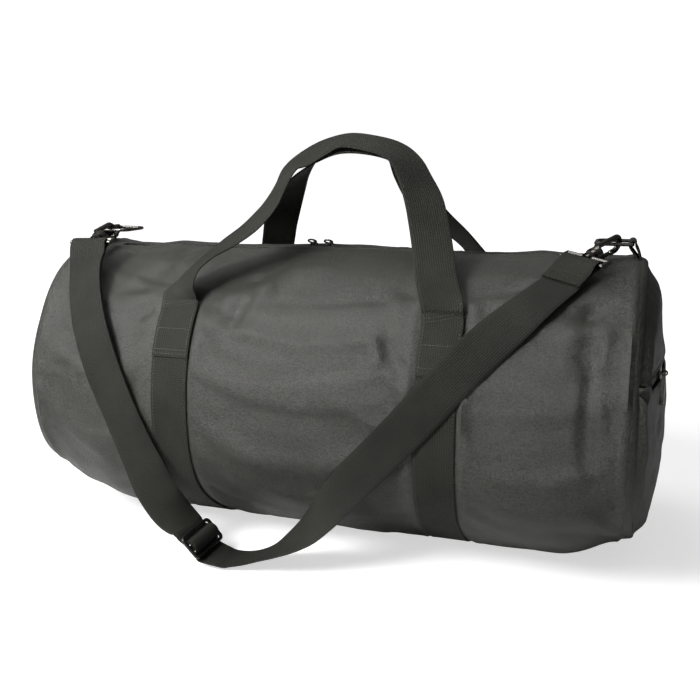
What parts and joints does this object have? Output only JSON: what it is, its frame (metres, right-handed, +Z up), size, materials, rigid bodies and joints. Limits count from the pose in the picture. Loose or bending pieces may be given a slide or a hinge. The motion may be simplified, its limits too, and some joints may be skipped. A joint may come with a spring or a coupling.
{
  "type": "duffel bag",
  "caption": "Barrel duffel bag of woven nylon with a full-length top zip, paired webbing carry handles, a zipped end pocket and a clip-on adjustable shoulder strap.",
  "frame": {"origin": "middle of the flat underside that the bag stands on", "axes": "+Z up, +X along the barrel towards the end with the pocket, -Y towards the side with the shoulder strap"},
  "size_m": [0.632, 0.336, 0.409],
  "materials": {
    "body_cloth": "plain woven nylon with a soft sheen",
    "binding": "woven binding tape",
    "zip_tape": "fine woven tape",
    "zip_coil": "moulded coil",
    "webbing": "ribbed webbing",
    "adjuster_plastic": "moulded, fine texture",
    "zip_metal": "dark nickel plate",
    "spring_steel": "plain wire",
    "hardware": "dark nickel plate, lightly worn"
  },
  "bodies": {
    "bag": {"barrel_panel": "body_cloth", "end_panel_left": "body_cloth", "end_panel_right": "body_cloth", "seam_binding_left": "binding", "seam_binding_right": "binding", "end_pocket_panel": "body_cloth", "end_pocket_facing": "body_cloth", "pocket_zip_tape_lower": "zip_tape", "pocket_zip_tape_upper": "zip_tape", "pocket_zip_coil": "zip_coil", "zip_end_left": "zip_tape", "zip_end_right": "zip_tape", "band_left": "webbing", "band_right": "webbing", "ring_tab_left": "webbing", "ring_tab_right": "webbing"},
    "mouth_front": {"mouth_panel_front": "body_cloth", "zip_tape_front": "zip_tape", "zip_coil_front": "zip_coil"},
    "mouth_rear": {"mouth_panel_rear": "body_cloth", "zip_tape_rear": "zip_tape", "zip_coil_rear": "zip_coil"},
    "slider_left": {"zip_slider_left": "zip_metal"},
    "slider_right": {"zip_slider_right": "zip_metal"},
    "pull_left": {"zip_pull_left": "zip_metal"},
    "pull_right": {"zip_pull_right": "zip_metal"},
    "pocket_slider": {"pocket_zip_slider": "zip_metal"},
    "pocket_pull": {"pocket_zip_pull": "zip_metal"},
    "front_handle": {"handle_front": "webbing"},
    "rear_handle": {"handle_rear": "webbing"},
    "ring_left": {"d_ring_left": "hardware"},
    "ring_right": {"d_ring_right": "hardware"},
    "strap": {"shoulder_strap": "webbing", "strap_adjuster": "adjuster_plastic", "hook_eye_left": "hardware", "hook_eye_right": "hardware"},
    "hook_left": {"hook_left": "hardware", "gate_pin_left": "spring_steel", "gate_spring_left": "spring_steel"},
    "hook_right": {"hook_right": "hardware", "gate_pin_right": "spring_steel", "gate_spring_right": "spring_steel"},
    "gate_left": {"hook_gate_left": "hardware"},
    "gate_right": {"hook_gate_right": "hardware"}
  },
  "joints": [
    {"name": "zip_open", "type": "slide", "parent": "bag", "child": "slider_left", "axis": [1, 0, 0], "range_m": [-0.154, 0]},
    {"name": "zip_open_right", "type": "slide", "parent": "bag", "child": "slider_right", "axis": [1, 0, 0], "range_m": [0, 0.209]},
    {"name": "mouth_front_fold", "type": "hinge", "parent": "bag", "child": "mouth_front", "pos_m": [0, -0.09, 0.268], "axis": [1, 0, 0], "range_deg": [0, 33.2], "deforming": ["zip_tape_front", "zip_coil_front"]},
    {"name": "mouth_rear_fold", "type": "hinge", "parent": "bag", "child": "mouth_rear", "pos_m": [0, 0.09, 0.268], "axis": [-1, 0, 0], "range_deg": [0, 27.7], "deforming": ["zip_tape_rear", "zip_coil_rear"]},
    {"name": "pull_left_swing", "type": "hinge", "parent": "slider_left", "child": "pull_left", "pos_m": [-0.036, 0, 0.2952], "axis": [1, 0, 0], "range_deg": [-142, 18]},
    {"name": "pull_right_swing", "type": "hinge", "parent": "slider_right", "child": "pull_right", "pos_m": [-0.018, 0, 0.2952], "axis": [1, 0, 0], "range_deg": [-142, 18]},
    {"name": "handle_front_fold", "type": "hinge", "parent": "bag", "child": "front_handle", "pos_m": [0, -0.1182, 0.2475], "axis": [-1, 0, 0], "range_deg": [-115, 0]},
    {"name": "handle_rear_fold", "type": "hinge", "parent": "bag", "child": "rear_handle", "pos_m": [0, 0.1182, 0.2475], "axis": [1, 0, 0], "range_deg": [-115, 0]},
    {"name": "ring_right_tilt", "type": "hinge", "parent": "bag", "child": "ring_right", "pos_m": [0.284, 0, 0.3052], "axis": [0, 1, 0], "range_deg": [0, 6]},
    {"name": "ring_left_tilt", "type": "hinge", "parent": "bag", "child": "ring_left", "pos_m": [-0.284, 0, 0.3052], "axis": [0, -1, 0], "range_deg": [0, 6]},
    {"name": "strap_lift", "type": "hinge", "parent": "bag", "child": "strap", "pos_m": [0, -0.02075, 0.3052], "axis": [-1, 0, 0], "range_deg": [0, 95]},
    {"name": "hook_right_swivel", "type": "hinge", "parent": "strap", "child": "hook_right", "pos_m": [0.268, -0.02075, 0.3052], "axis": [0.5159, 0.8256, 0.2285], "range_deg": [-10, 10]},
    {"name": "hook_left_swivel", "type": "hinge", "parent": "strap", "child": "hook_left", "pos_m": [-0.268, -0.02075, 0.3052], "axis": [-0.121, 0.9778, 0.1714], "range_deg": [-8, 20]},
    {"name": "gate_right_open", "type": "hinge", "parent": "hook_right", "child": "gate_right", "pos_m": [0.25554, -0.03761, 0.29362], "axis": [0.852, -0.4666, -0.2376], "range_deg": [0, 24], "stiffness_Nm_per_rad": 0.02, "springref_deg": -28.65},
    {"name": "gate_left_open", "type": "hinge", "parent": "hook_left", "child": "gate_left", "pos_m": [-0.26169, -0.04183, 0.29574], "axis": [0.8418, 0.0096, 0.5397], "range_deg": [0, 24], "stiffness_Nm_per_rad": 0.02, "springref_deg": -28.65},
    {"name": "pocket_zip_open", "type": "hinge", "parent": "bag", "child": "pocket_slider", "pos_m": [-0.337, 0, 0.2], "axis": [0, 0, 1], "range_deg": [-3.02, 17.1]},
    {"name": "pocket_pull_swing", "type": "hinge", "parent": "pocket_slider", "child": "pocket_pull", "pos_m": [0.31816, -0.08093, 0.20063], "axis": [-0.1226, -0.9925, 0], "range_deg": [0, 110]}
  ],
  "couplings": [
    {"joint": "zip_open_right", "follows": "zip_open", "ratio": -1.3506},
    {"joint": "mouth_front_fold", "follows": "zip_open", "rad_per_m": -3.74},
    {"joint": "mouth_rear_fold", "follows": "zip_open", "rad_per_m": -3.1167}
  ]
}
